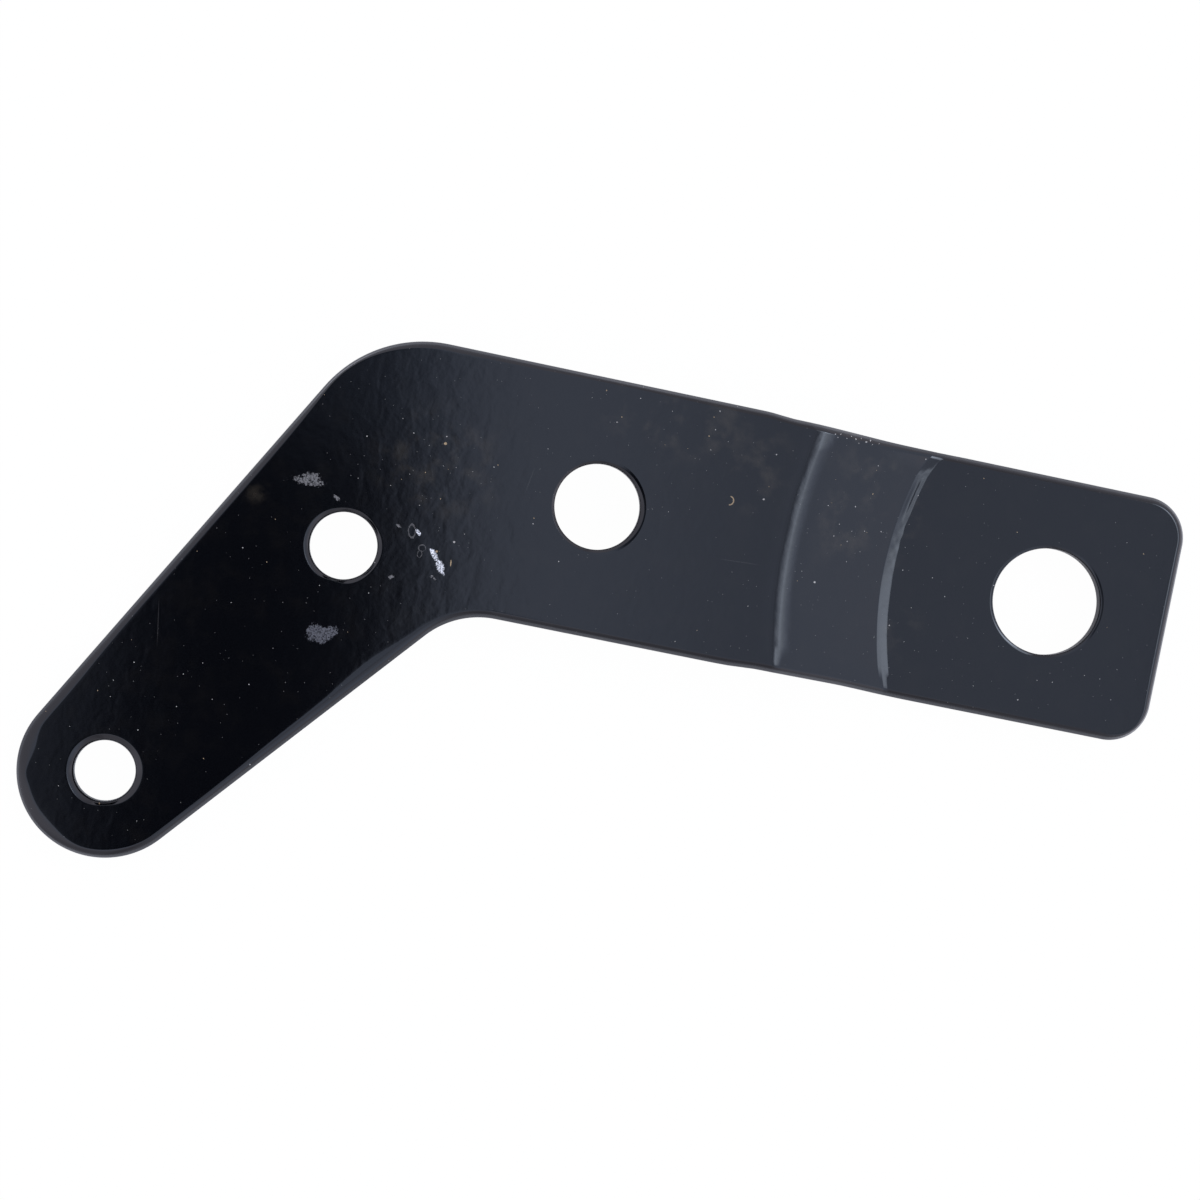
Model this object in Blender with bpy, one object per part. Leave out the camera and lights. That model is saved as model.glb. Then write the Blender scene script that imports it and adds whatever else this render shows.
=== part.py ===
"""Idler bracket: one blanked, punched and joggled steel plate, in metres, +Z up.

The plate is drawn in plan with the pivot hole at the origin, the bar along X and the
arm running down to the left. The blank is lofted from parallel outlines, the holes are
punched from its upper face, and the bar is then pressed down to a lower level between
two curved creases. Last, the plate is laid down as it comes to rest: on the tip of the
arm and on the foot of the joggle.
"""

import math

import bmesh
import bpy
from mathutils import Matrix, Vector

# Plate and outline
PLATE_THICKNESS = 0.00476
BAR_WIDTH = 0.0381
ELBOW_FROM_PIVOT = 0.0258
ARM_ANGLE = math.radians(54.75)
ARM_REACH = 0.06325
TIP_RADIUS = 0.0127
INNER_FILLET = 0.0127
END_FROM_PULLEY = 0.0196
END_CORNER = 0.0064

# Holes: the pivot hole is at the origin, the arm's two lie on its centre line
PIVOT_HOLE = 0.0127
PULLEY_HOLE = 0.0164
PULLEY_FROM_PIVOT = 0.0709
STOP_HOLE = 0.0099
STOP_FROM_ELBOW = 0.0159
SPRING_HOLE = 0.0090

# Edges as the die leaves them: rolled over above, torn off narrower below
EDGE_ROLL_WIDTH = 0.0014
EDGE_ROLL_DEPTH = 0.0011
EDGE_LAND_END = 0.0020
EDGE_TEAR = 0.00025
EDGE_BREAK = 0.0002
HOLE_ROLL_WIDTH = 0.0009
HOLE_ROLL_DEPTH = 0.0006
HOLE_LAND_END = 0.0012
HOLE_TEAR = 0.0010
HOLE_BREAK = 0.0002

# Joggle: two bends about creases that bow towards the pivot
JOGGLE_OFFSET = 0.0075
UPPER_CREASE = 0.0300
LOWER_CREASE = 0.0460
UPPER_CREASE_BOW = 0.0019
LOWER_CREASE_BOW = 0.0037
BEND_RADIUS = 0.0030
DRAW_IN = 0.0003
DRAW_IN_LEAD = 0.0048

# How finely curves are drawn
ARC_STEP = math.radians(7.5)
HOLE_SIDES = 48
ROLL_STEPS = 5
LEAD_STEPS = 3
BEND_STEPS = 6
RAMP_STEPS = 4
CREASE_SPANS = 14
CUTTER_MARGIN = 0.0010
SNAP = 1e-7

PAINT = (0.004, 0.0045, 0.006, 1.0)


def clear_scene():
    for obj in list(bpy.data.objects):
        bpy.data.objects.remove(obj)


def gloss_black_paint():
    material = bpy.data.materials.new("gloss_black_paint")
    material.use_nodes = True
    shader = material.node_tree.nodes["Principled BSDF"]
    shader.inputs["Base Color"].default_value = PAINT
    shader.inputs["Roughness"].default_value = 0.18
    shader.inputs["Metallic"].default_value = 0.0
    return material


def arc(centre, radius, start, end):
    """Points along an arc, both ends included; it turns clockwise where end < start."""
    steps = max(2, math.ceil(abs(end - start) / ARC_STEP))
    angles = [start + (end - start) * i / steps for i in range(steps + 1)]
    return [(centre.x + radius * math.cos(a), centre.y + radius * math.sin(a)) for a in angles]


def elbow_centre():
    return Vector((-ELBOW_FROM_PIVOT, 0.0))


def along_arm(distance):
    """A point on the arm's centre line, that far from the elbow's centre."""
    heading = math.pi + ARM_ANGLE
    return elbow_centre() + distance * Vector((math.cos(heading), math.sin(heading)))


def blank_outline(inset):
    """The blank's outline anticlockwise, drawn parallel to itself and inset inwards."""
    half = BAR_WIDTH / 2
    elbow = elbow_centre()
    tip = along_arm(ARM_REACH)
    # The arm's edges are the two lines that touch both the elbow and the tip circle.
    heading = math.pi + ARM_ANGLE
    taper = math.asin((half - TIP_RADIUS) / ARM_REACH)
    outer_normal = heading - math.pi / 2 + taper
    inner_normal = heading + math.pi / 2 - taper

    fillet_y = -half - INNER_FILLET
    across = half + INNER_FILLET - fillet_y * math.sin(inner_normal)
    fillet = Vector((elbow.x + across / math.cos(inner_normal), fillet_y))

    corner_x = PULLEY_FROM_PIVOT + END_FROM_PULLEY - END_CORNER
    corner_y = half - END_CORNER
    corner_radius = END_CORNER - inset
    points = arc(Vector((corner_x, -corner_y)), corner_radius, -math.pi / 2, 0.0)
    points += arc(Vector((corner_x, corner_y)), corner_radius, 0.0, math.pi / 2)
    points += arc(elbow, half - inset, math.pi / 2, outer_normal)
    points += arc(tip, TIP_RADIUS - inset, outer_normal, inner_normal)
    points += arc(fillet, INNER_FILLET + inset, inner_normal - math.pi, math.pi / 2)
    return points


def circle(centre, radius):
    angles = [2 * math.pi * i / HOLE_SIDES for i in range(HOLE_SIDES)]
    return [(centre.x + radius * math.cos(a), centre.y + radius * math.sin(a)) for a in angles]


def rolled(width, depth, top, last):
    """(offset, z) down the quarter ellipse of a rolled edge, from the face to the land.

    last is the share of the quarter at which it starts, where 1 is level with the face.
    """
    shares = [last * (1 - i / ROLL_STEPS) * math.pi / 2 for i in range(ROLL_STEPS + 1)]
    return [
        (width * (1 - math.cos(a)), top - depth * (1 - math.sin(a)))
        for a in shares
    ]


def lofted(name, loops):
    """A closed solid through level loops of equally many points, from the bottom up."""
    bm = bmesh.new()
    rings = [[bm.verts.new((x, y, z)) for x, y in points] for z, points in loops]
    for lower, upper in zip(rings, rings[1:]):
        for i in range(len(lower)):
            j = (i + 1) % len(lower)
            bm.faces.new((lower[i], lower[j], upper[j], upper[i]))
    bm.faces.new(reversed(rings[0]))
    bm.faces.new(rings[-1])
    mesh = bpy.data.meshes.new(name)
    bm.to_mesh(mesh)
    bm.free()
    obj = bpy.data.objects.new(name, mesh)
    bpy.context.scene.collection.objects.link(obj)
    return obj


def flat_blank():
    """The plate before it is punched: sheared edge below, land, and rolled edge above."""
    profile = [
        (EDGE_TEAR + EDGE_BREAK, 0.0),
        (EDGE_TEAR, EDGE_BREAK),
        (0.0, PLATE_THICKNESS - EDGE_LAND_END),
    ]
    profile += reversed(rolled(EDGE_ROLL_WIDTH, EDGE_ROLL_DEPTH, PLATE_THICKNESS, 1.0))
    return lofted("blank", [(z, blank_outline(inset)) for inset, z in profile])


def punch(name, centre, diameter):
    """The cutter of one hole: rolled at the upper face, straight, then torn wider."""
    radius = diameter / 2
    flare = rolled(HOLE_ROLL_WIDTH, HOLE_ROLL_DEPTH, PLATE_THICKNESS, 0.85)
    # Past the face and below the plate, the cutter carries on at its last slopes.
    (outer, high), (inner, low) = flare[0], flare[1]
    rise = PLATE_THICKNESS + CUTTER_MARGIN - high
    above = outer + rise * (outer - inner) / (high - low)
    profile = [
        (HOLE_TEAR + HOLE_BREAK + CUTTER_MARGIN, -CUTTER_MARGIN),
        (HOLE_TEAR, HOLE_BREAK),
        (0.0, PLATE_THICKNESS - HOLE_LAND_END),
    ]
    profile += reversed(flare)
    profile.append((above, PLATE_THICKNESS + CUTTER_MARGIN))
    cutter = lofted(name, [(z, circle(centre, radius + offset)) for offset, z in profile])
    cutter.hide_render = True
    cutter.display_type = "WIRE"
    return cutter


def punched_blank():
    """The flat plate with its four holes, as one mesh."""
    blank = flat_blank()
    cutters = [
        punch("pivot_punch", Vector((0.0, 0.0)), PIVOT_HOLE),
        punch("pulley_punch", Vector((PULLEY_FROM_PIVOT, 0.0)), PULLEY_HOLE),
        punch("stop_punch", along_arm(STOP_FROM_ELBOW), STOP_HOLE),
        punch("spring_punch", along_arm(ARM_REACH), SPRING_HOLE),
    ]
    for cutter in cutters:
        hole = blank.modifiers.new(cutter.name, "BOOLEAN")
        hole.object = cutter
        hole.operation = "DIFFERENCE"
        hole.solver = "EXACT"
    graph = bpy.context.evaluated_depsgraph_get()
    mesh = bpy.data.meshes.new_from_object(blank.evaluated_get(graph))
    for helper in [blank, *cutters]:
        bpy.data.objects.remove(helper)
    return mesh


def ramp_angle():
    return math.atan2(JOGGLE_OFFSET, LOWER_CREASE - UPPER_CREASE)


def joggle_stations():
    """(x, z, tilt) of the upper face along the bar's middle, into and through both bends."""
    slope = ramp_angle()
    upper_radius = BEND_RADIUS + PLATE_THICKNESS
    upper_start = UPPER_CREASE - upper_radius * math.tan(slope / 2)
    lower_end = LOWER_CREASE + BEND_RADIUS * math.tan(slope / 2)
    lead = [(upper_start - DRAW_IN_LEAD * i / LEAD_STEPS, 0.0, 0.0) for i in range(LEAD_STEPS, 0, -1)]
    tilts = [slope * i / BEND_STEPS for i in range(BEND_STEPS + 1)]
    upper = [
        (upper_start + upper_radius * math.sin(a), upper_radius * (math.cos(a) - 1), a)
        for a in tilts
    ]
    lower = [
        (lower_end - BEND_RADIUS * math.sin(a), BEND_RADIUS * (1 - math.cos(a)) - JOGGLE_OFFSET, a)
        for a in reversed(tilts)
    ]
    (x0, z0, _), (x1, z1, _) = upper[-1], lower[0]
    shares = [i / RAMP_STEPS for i in range(1, RAMP_STEPS)]
    ramp = [(x0 + (x1 - x0) * s, z0 + (z1 - z0) * s, slope) for s in shares]
    return lead + upper + ramp + lower


def smooth_rise(value):
    """0 below 0 and 1 above 1, with a smooth rise between them."""
    value = min(max(value, 0.0), 1.0)
    return value * value * (3 - 2 * value)


def bow(depth, y):
    """How far an arc that bows by depth over the bar's width lies to the right at y."""
    radius = ((BAR_WIDTH / 2) ** 2 + depth**2) / (2 * depth)
    return radius - math.sqrt(radius**2 - y**2)


def cut_across(bm, stations):
    """Edges across the plate at each station, and along it between the two bends."""
    for x, _, _ in stations:
        geometry = bm.verts[:] + bm.edges[:] + bm.faces[:]
        bmesh.ops.bisect_plane(
            bm, geom=geometry, dist=SNAP, plane_co=(x, 0, 0), plane_no=(1, 0, 0)
        )
    left, right = stations[0][0] - SNAP, stations[-1][0] + SNAP
    for i in range(1, CREASE_SPANS):
        y = BAR_WIDTH * (i / CREASE_SPANS - 0.5)
        faces = [f for f in bm.faces if all(left < v.co.x < right for v in f.verts)]
        edges = {e for f in faces for e in f.edges}
        verts = {v for f in faces for v in f.verts}
        bmesh.ops.bisect_plane(
            bm,
            geom=[*verts, *edges, *faces],
            dist=SNAP,
            plane_co=(0, y, 0),
            plane_no=(0, 1, 0),
        )


def press_joggle(mesh):
    """Bends the flat plate down to its lower level, keeping its thickness."""
    stations = joggle_stations()
    bm = bmesh.new()
    bm.from_mesh(mesh)
    cut_across(bm, stations)
    first, last = stations[0][0], stations[-1][0]
    bent = stations[LEAD_STEPS][0]
    for vert in bm.verts:
        x, y, z = vert.co
        if x > last + 2 * SNAP:
            vert.co.z = z - JOGGLE_OFFSET
        elif x > first - 2 * SNAP:
            station_x, drop, tilt = min(stations, key=lambda s: abs(s[0] - x))
            share = max(station_x - bent, 0.0) / (last - bent)
            shift = (1 - share) * bow(UPPER_CREASE_BOW, y) + share * bow(LOWER_CREASE_BOW, y)
            shift *= min((station_x - first) / (bent - first), 1.0)
            depth = PLATE_THICKNESS - z
            # The stretched metal draws in from both sides, from before the upper crease.
            drawn = DRAW_IN * smooth_rise((station_x - first) / (bent - first))
            drawn *= smooth_rise((last - station_x) / (LOWER_CREASE - UPPER_CREASE) * 2)
            vert.co.x = station_x + shift - depth * math.sin(tilt)
            vert.co.y = y * (1 - drawn / (BAR_WIDTH / 2))
            vert.co.z = PLATE_THICKNESS + drop - depth * math.cos(tilt)
    bmesh.ops.recalc_face_normals(bm, faces=bm.faces[:])
    bm.to_mesh(mesh)
    bm.free()


def rest_tilt():
    """How far the plate tips about Y until both the arm's tip and the joggle touch."""
    heel_radius = BEND_RADIUS + PLATE_THICKNESS
    heel_x = LOWER_CREASE + BEND_RADIUS * math.tan(ramp_angle() / 2)
    toe_x = along_arm(ARM_REACH).x - TIP_RADIUS + EDGE_TEAR + EDGE_BREAK
    run = heel_x - toe_x
    rise = heel_radius - JOGGLE_OFFSET
    return math.asin(heel_radius / math.hypot(run, rise)) - math.atan2(rise, run)


def idler_bracket():
    mesh = punched_blank()
    press_joggle(mesh)
    mesh.name = "bracket_plate"
    mesh.materials.clear()
    mesh.materials.append(gloss_black_paint())
    mesh.shade_smooth()
    mesh.set_sharp_from_angle(angle=math.radians(28))
    bracket = bpy.data.objects.new("bracket_plate", mesh)
    bpy.context.scene.collection.objects.link(bracket)

    # The origin is the middle of the base of the box that the resting plate fills.
    bracket.rotation_euler.y = -rest_tilt()
    turned = Matrix.Rotation(-rest_tilt(), 3, "Y")
    corners = [turned @ vert.co for vert in mesh.vertices]
    low = Vector([min(c[k] for c in corners) for k in range(3)])
    high = Vector([max(c[k] for c in corners) for k in range(3)])
    bracket.location = (-(low.x + high.x) / 2, -(low.y + high.y) / 2, -low.z)
    return bracket


clear_scene()
idler_bracket()
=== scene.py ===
"""The looks of the idler bracket: gloss black paint on a joggled steel plate.

The plate is drawn with finer curves than the plain solid, on the same sizes and in the
same place, and painted. Its plan has the pivot hole at the origin, the bar along X and
the arm running down to the left, in metres.
"""

import functools
import math

import bpy
import numpy as np
from mathutils import Matrix, Vector
from mathutils.geometry import delaunay_2d_cdt


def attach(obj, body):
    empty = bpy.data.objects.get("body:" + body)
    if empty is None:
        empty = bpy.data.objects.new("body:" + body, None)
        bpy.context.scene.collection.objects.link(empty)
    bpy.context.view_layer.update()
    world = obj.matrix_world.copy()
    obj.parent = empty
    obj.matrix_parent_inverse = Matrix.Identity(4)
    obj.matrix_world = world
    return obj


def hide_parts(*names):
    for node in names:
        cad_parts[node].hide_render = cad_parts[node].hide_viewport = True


bl_info = {
    "name": "Idler bracket",
    "version": (1, 0, 0),
    "blender": (4, 5, 0),
    "location": "3D View > Sidebar > Bracket",
    "description": "Builds a painted idler bracket and the studio it is seen in",
    "category": "Object",
}

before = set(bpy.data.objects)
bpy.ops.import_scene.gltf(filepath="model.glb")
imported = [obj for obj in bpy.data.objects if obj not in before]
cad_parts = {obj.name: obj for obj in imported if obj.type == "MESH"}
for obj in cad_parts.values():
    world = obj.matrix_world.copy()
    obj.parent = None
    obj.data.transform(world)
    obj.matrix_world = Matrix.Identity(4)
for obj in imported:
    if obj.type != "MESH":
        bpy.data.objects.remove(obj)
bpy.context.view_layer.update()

PLATE_NODE = "bracket_plate"
PAINT_SLOT = "gloss_black_paint"

# Where the pivot hole's plan origin lies while the bracket rests, and how far it tips
PIVOT_AT = (-0.007766, 0.022646, 0.004613)
REST_TILT = math.radians(3.547)

PLATE_THICKNESS = 0.00476

# The drawn plate stays this far inside the plain one
SKIN = 0.00002

# Both bends down the bar: millimetres from the crease, and the share of the ramp's slope
UPPER_BEND = (
    (-3.6, 0.0),
    (-3.1, -0.04),
    (-2.30, -0.045),
    (-2.12, 0.215),
    (-1.90, 0.242),
    (-1.75, 0.260),
    (-1.61, 0.281),
    (-1.46, 0.297),
    (-1.17, 0.325),
    (-0.98, 0.340),
    (-0.86, 0.40),
    (-0.72, 0.53),
    (-0.60, 0.60),
    (-0.30, 0.665),
    (-0.02, 0.71),
    (0.45, 0.76),
    (1.2, 0.86),
    (2.4, 1.0),
)
LOWER_BEND = (
    (-2.0, 1.0),
    (-1.0, 1.0),
    (-0.84, 0.50),
    (-0.4, 0.46),
    (0.3, 0.41),
    (0.55, 0.37),
    (0.72, 0.29),
    (0.86, 0.17),
    (1.05, 0.07),
    (1.3, -0.05),
    (1.8, -0.03),
    (2.8, 0.0),
)

# The lower bend towards the bar's upper edge, where it is narrower
LOWER_BEND_FAR = (
    (-2.0, 1.0),
    (-1.0, 1.0),
    (-0.84, 0.59),
    (-0.4, 0.565),
    (0.2, 0.51),
    (0.42, 0.43),
    (0.60, 0.30),
    (0.74, 0.17),
    (0.93, 0.07),
    (1.18, -0.05),
    (1.7, -0.03),
    (2.8, 0.0),
)

# How much both bends tighten at the bar's lower edge, about these places in mm
TIGHTER = 0.35
TIGHT_ABOUT = (-1.75, 0.15)

# Where the tighter bends begin above the bar's lower edge, and over what length they take
# over. Towards the upper edge the narrower lower bend comes in and goes out the same way.
NEAR_BEGINS = 0.0043
NEAR_LENGTH = 0.0031
FAR_BEGINS = -0.003
FAR_LENGTH = 0.008
FAR_ENDS = 0.0125
FAR_END_LENGTH = 0.0025

# The tables of the joggle's course reach this far past both bends
COURSE_MARGIN = 0.001

# Over these lengths before the upper bend and after the lower one the creases' bows fade
BOW_LEAD = 0.008
BOW_TRAIL = 0.010

# How far from the bar's upper edge both creases curl, and how far each one curls along it
CURL_REACH = 0.0036
UPPER_CURL = 0.0016
LOWER_CURL = 0.0024

# How the blanked outline and the punched holes roll over: shares of the roll's width from
# the edge inwards, and the tilt there in degrees
BLANK_ROLL = (
    (0.0, 80.0),
    (0.03, 62.0),
    (0.12, 58.0),
    (0.37, 55.0),
    (0.48, 44.0),
    (0.60, 34.0),
    (0.75, 27.0),
    (0.9, 20.0),
    (0.98, 13.0),
    (1.06, 3.5),
    (1.15, 1.0),
    (1.35, 0.0),
)
PUNCH_ROLL = (
    (0.0, 85.0),
    (0.03, 66.0),
    (0.17, 58.0),
    (0.26, 40.0),
    (0.5, 36.0),
    (0.92, 33.0),
    (1.0, 10.0),
    (1.06, 1.5),
    (1.15, 0.5),
    (1.4, 0.0),
)
PULLEY_ROLL = (
    (0.0, 85.0),
    (0.03, 66.0),
    (0.20, 58.0),
    (0.28, 22.0),
    (0.85, 15.0),
    (1.0, 4.0),
    (1.1, 1.0),
    (1.4, 0.0),
)

# Flat rings round the pivot hole carry the shallow sink beside it.
FLAT_RIM = tuple((1.4 + 0.12 * k, 0.0) for k in range(1, 12))

# The edges in metres: how wide they roll over, how far below the upper face the straight
# land ends, how far the torn part below it draws back, and the chip at its foot
EDGE_ROLL = 0.0011
EDGE_LAND = 0.0020
EDGE_TEAR = 0.00025
HOLE_ROLL = {"pivot": 0.00045, "pulley": 0.00055, "stop": 0.00075, "spring": 0.00090}
HOLE_TILTS = {
    "pivot": PUNCH_ROLL + FLAT_RIM,
    "pulley": PULLEY_ROLL,
    "stop": PUNCH_ROLL,
    "spring": PUNCH_ROLL,
}
HOLE_LAND = 0.0019
HOLE_TEAR = 0.0010
CHIP = 0.0002

# An edge's rings from the lower face up to its land, which come before its roll
RINGS_BELOW_ROLL = 5

# The share of a roll's width that is steep, and by how much of the extra it widens
STEEP_PART = 0.35
STEEP_WIDENING = 0.35

# Marks on the paint, as ovals in the plate's plan: middle x and y, half length and half
# width in mm, and turn in degrees. Ovals in one group make up one mark.
PALE_RUBS = (
    ((-41.92, -4.7, 2.16, 0.52, 1.0), (-41.6, -4.12, 1.15, 0.65, 12.0)),
    ((-37.39, -6.26, 0.52, 0.26, -29.0),),
    ((-27.84, -8.48, 0.35, 0.19, -29.0),),
    ((-21.72, -14.71, 0.25, 0.19, 11.0), (-21.22, -14.94, 0.23, 0.16, -29.0)),
    ((-27.45, -15.97, 0.44, 0.29, 32.0),),
)
DULL_RUBS = (
    (
        (-36.62, -26.05, 1.23, 1.16, 72.0),
        (-35.34, -26.61, 1.08, 0.72, 11.0),
        (-34.38, -25.53, 1.01, 0.75, 47.0),
        (-35.45, -25.75, 0.85, 0.62, 20.0),
    ),
)
BRIGHT_RUBS = (
    ((-24.89, -8.81, 0.58, 0.26, -39.0),),
    ((-21.98, -11.52, 0.99, 0.36, -47.0), (-20.78, -13.06, 1.17, 0.5, -57.0)),
)
DRIED_RINGS = (
    (-25.81, -8.81, 0.95, 0.49, 101.0),
    (-23.87, -10.94, 0.52, 0.46, 11.0),
    (-24.06, -11.87, 0.50, 0.32, 91.0),
)
PALE_SPECKS = (
    (-19.49, -9.15, 0.15, 0.14, 12.0),
    (23.89, 6.10, 0.15, 0.12, 12.0),
    (34.30, -4.32, 0.16, 0.15, 11.0),
    (32.6, 17.75, 0.10, 0.07, 12.0),
    (33.1, 17.35, 0.07, 0.06, 12.0),
    (33.5, 17.95, 0.12, 0.07, 40.0),
    (34.6, 17.55, 0.07, 0.06, 12.0),
    (35.3, 18.05, 0.10, 0.06, 12.0),
    (36.1, 17.8, 0.13, 0.08, -30.0),
    (36.7, 17.3, 0.06, 0.06, 12.0),
    (37.0, 18.1, 0.08, 0.07, 12.0),
    (37.9, 17.75, 0.15, 0.10, 12.0),
    (38.6, 18.15, 0.12, 0.10, 60.0),
    (39.0, 17.6, 0.08, 0.06, 12.0),
    (40.1, 18.0, 0.07, 0.06, 12.0),
)
TAN_SPECKS = (
    (79.52, 0.30, 0.14, 0.11, 90.0),
    (79.50, -0.35, 0.22, 0.12, 80.0),
    (79.44, -1.30, 0.28, 0.11, 75.0),
    (-21.7, -11.0, 0.16, 0.15, 11.0),
    (-19.35, -12.25, 0.45, 0.09, 96.0),
    (-23.56, 4.64, 0.22, 0.19, 12.0),
)
SCRATCHES = (
    (-58.98, -28.98, 3.47, 0.08, 99.0),
    (22.31, -3.65, 3.27, 0.07, 3.0),
    (-10.42, 1.94, 2.05, 0.07, 81.0),
)
DUST_DRIFTS = (
    (-48.50, -7.68, 2.3, 1.5, 47.0),
    (-23.5, 1.5, 9.0, 8.0, 12.0),
    (9.99, 14.5, 13.0, 5.5, 2.0),
    (36.43, 18.08, 3.3, 0.9, 0.0),
    (38.0, 8.0, 6.5, 9.5, 0.0),
    (41.5, 14.5, 4.0, 3.5, 0.0),
    (22.0, 10.5, 5.0, 6.5, 0.0),
    (50.5, -8.5, 3.0, 4.5, 0.0),
    (48.0, 6.0, 1.3, 8.0, -14.0),
)

# A short bent hair: middle x and y and radius in mm
HAIR = (18.96, 4.91, 0.68)

# The marks lie at this height in the plate
MARK_HEIGHT = 0.0045

# Where the edges roll over wider or narrower: plan x, y and reach in mm, and the extra
ROLL_HUMPS = (
    (-74.9, -50.1, 3.2, 0.90),
    (-74.4, -57.2, 4.0, 0.55),
    (-69.5, -61.5, 4.5, 0.90),
    (-75.6, -54.6, 1.4, -0.22),
    (-74.0, -41.0, 9.0, 0.42),
    (-59.1, -64.0, 5.0, 0.15),
    (-41.0, 13.0, 9.0, -0.45),
    (-37.0, -41.0, 9.0, 0.32),
    (-27.7, -30.1, 7.0, 0.85),
    (0.0, 19.05, 14.0, -0.20),
    (90.5, 0.0, 11.0, 0.05),
    (88.6, -17.2, 4.0, -0.30),
    (-61.4, -56.1, 2.2, -0.45),
    (-31.1, -15.7, 2.5, -0.22),
    (-39.8, -13.4, 3.0, 0.02),
    (-66.6, -53.2, 3.0, -0.14),
    (-58.5, -50.0, 3.5, 0.22),
    (-31.5, -9.3, 2.0, -0.25),
    (-35.9, -8.1, 2.5, -0.20),
    (-35.6, -18.3, 1.8, -0.55),
    (6.35, 0.0, 3.0, 0.35),
)

# How far each hole lies off its drawn place, in mm
HOLE_OFF = {
    "pivot": (0.06, 0.105),
    "pulley": (0.13, 0.0),
    "stop": (-0.145, 0.11),
    "spring": (-0.09, 0.01),
}

# How much wider and higher than its diameter a hole is
HOLE_STRETCH = {"pulley": (1.010, 0.985)}

# A shallow sink on the right of the pivot hole: plan x and y and reach in mm, depth in mm,
# and how far out from the hole it begins and ends
SINK = (7.2, 0.3, 9.0, 0.065, 0.29, 0.95)

# The floor's half side in metres
FLOOR_HALF = 4.0

# The camera: its focal length in pixels of the picture, the picture's width in pixels, its
# place in metres over the plate's upper face, and its right, up and backward directions
FOCAL_PIXELS = 1998.37
PICTURE_PIXELS = 1200.0
SENSOR_WIDTH = 36.0
CAMERA_PLACE = (-0.019598, -0.011188, 0.292358)
CAMERA_DIRECTIONS = (
    (0.97726, 0.19849, 0.07458),
    (-0.19737, 0.98008, -0.02219),
    (-0.0775, 0.00697, 0.99697),
)


# Sizes and colours that can be changed


def length(name, description, default):
    """A size in metres."""
    return bpy.props.FloatProperty(
        name=name, description=description, default=default, min=0.0, precision=5, unit="LENGTH"
    )


def angle(name, description, default):
    """An angle in radians."""
    return bpy.props.FloatProperty(
        name=name, description=description, default=default, unit="ROTATION"
    )


def share(name, description, default):
    """A share or a strength."""
    return bpy.props.FloatProperty(
        name=name, description=description, default=default, min=0.0, subtype="FACTOR"
    )


def colour(name, description, default):
    """A colour, red, green and blue."""
    return bpy.props.FloatVectorProperty(
        name=name, description=description, default=default, size=3, min=0.0, subtype="COLOR"
    )


class BracketSizes(bpy.types.PropertyGroup):
    """Sizes of the plate, its holes and its joggle"""

    thickness: length("Thickness", "Thickness of the plate", PLATE_THICKNESS)
    bar_width: length("Bar width", "Width of the bar across its length", 0.0381)
    elbow: length("Elbow", "From the pivot hole to the elbow's centre", 0.0258)
    arm_angle: angle("Arm angle", "How far the arm turns down from the bar", math.radians(54.75))
    arm_reach: length("Arm reach", "From the elbow's centre to the tip's", 0.06325)
    tip_radius: length("Tip radius", "Radius of the arm's round end", 0.0127)
    inner_fillet: length("Inner fillet", "Radius between arm and bar", 0.0127)
    bar_end: length("Bar end", "From the pivot hole to the bar's right end", 0.0905)
    end_corner: length("End corner", "Radius of the corners at the right end", 0.0064)
    pivot_hole: length("Pivot hole", "Diameter of the hole in the middle of the bar", 0.01258)
    pulley_hole: length("Pulley hole", "Diameter of the large hole", 0.0165)
    pulley_at: length("Pulley spacing", "From the pivot hole to the pulley hole", 0.0709)
    stop_hole: length("Stop hole", "Diameter of the arm's upper hole", 0.00978)
    stop_at: length("Stop spacing", "From the elbow's centre to the stop hole", 0.0159)
    spring_hole: length("Spring hole", "Diameter of the hole in the arm's tip", 0.0088)
    joggle: length("Joggle", "How much lower the right end lies", 0.0075)
    upper_crease: length("Upper crease", "From the pivot hole to the upper crease", 0.0300)
    lower_crease: length("Lower crease", "From the pivot hole to the lower crease", 0.0460)
    upper_bow: length("Upper bow", "How far the upper crease bows", 0.0020)
    lower_bow: length("Lower bow", "How far the lower crease bows", 0.0037)
    draw_in: length("Draw-in", "How far each side draws in past the upper crease", 0.0003)
    draw_lead: length("Draw-in lead", "How far before the crease the sides start to draw in", 0.0048)


class PaintLook(bpy.types.PropertyGroup):
    """Colours and finish of the paint and of what lies on it"""

    paint: colour("Paint", "Colour of the paint itself", (0.0012, 0.0014, 0.0022))
    sheen_tint: colour("Gloss tint", "Tint of what the paint reflects", (0.88, 0.93, 1.0))
    pale_rub: colour("Pale rub", "Colour of the pale rubbed spots", (0.115, 0.115, 0.115))
    dull_rub: colour("Dull rub", "Colour of the dull rubbed spot", (0.062, 0.065, 0.075))
    bright_rub: colour("Bright rub", "Colour of the brightest rubbed spots", (0.72, 0.76, 0.80))
    dust: colour("Dust", "Colour of the pale dust", (0.36, 0.36, 0.34))
    tan_dust: colour("Tan dust", "Colour of the tan dust", (0.40, 0.30, 0.17))
    haze: colour("Haze", "Colour of the thin dust film", (0.022, 0.019, 0.0145))
    gloss: share("Roughness", "Roughness of the clean paint", 0.10)
    peel: share("Orange peel", "Strength of the paint's ripple", 0.033)


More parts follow.
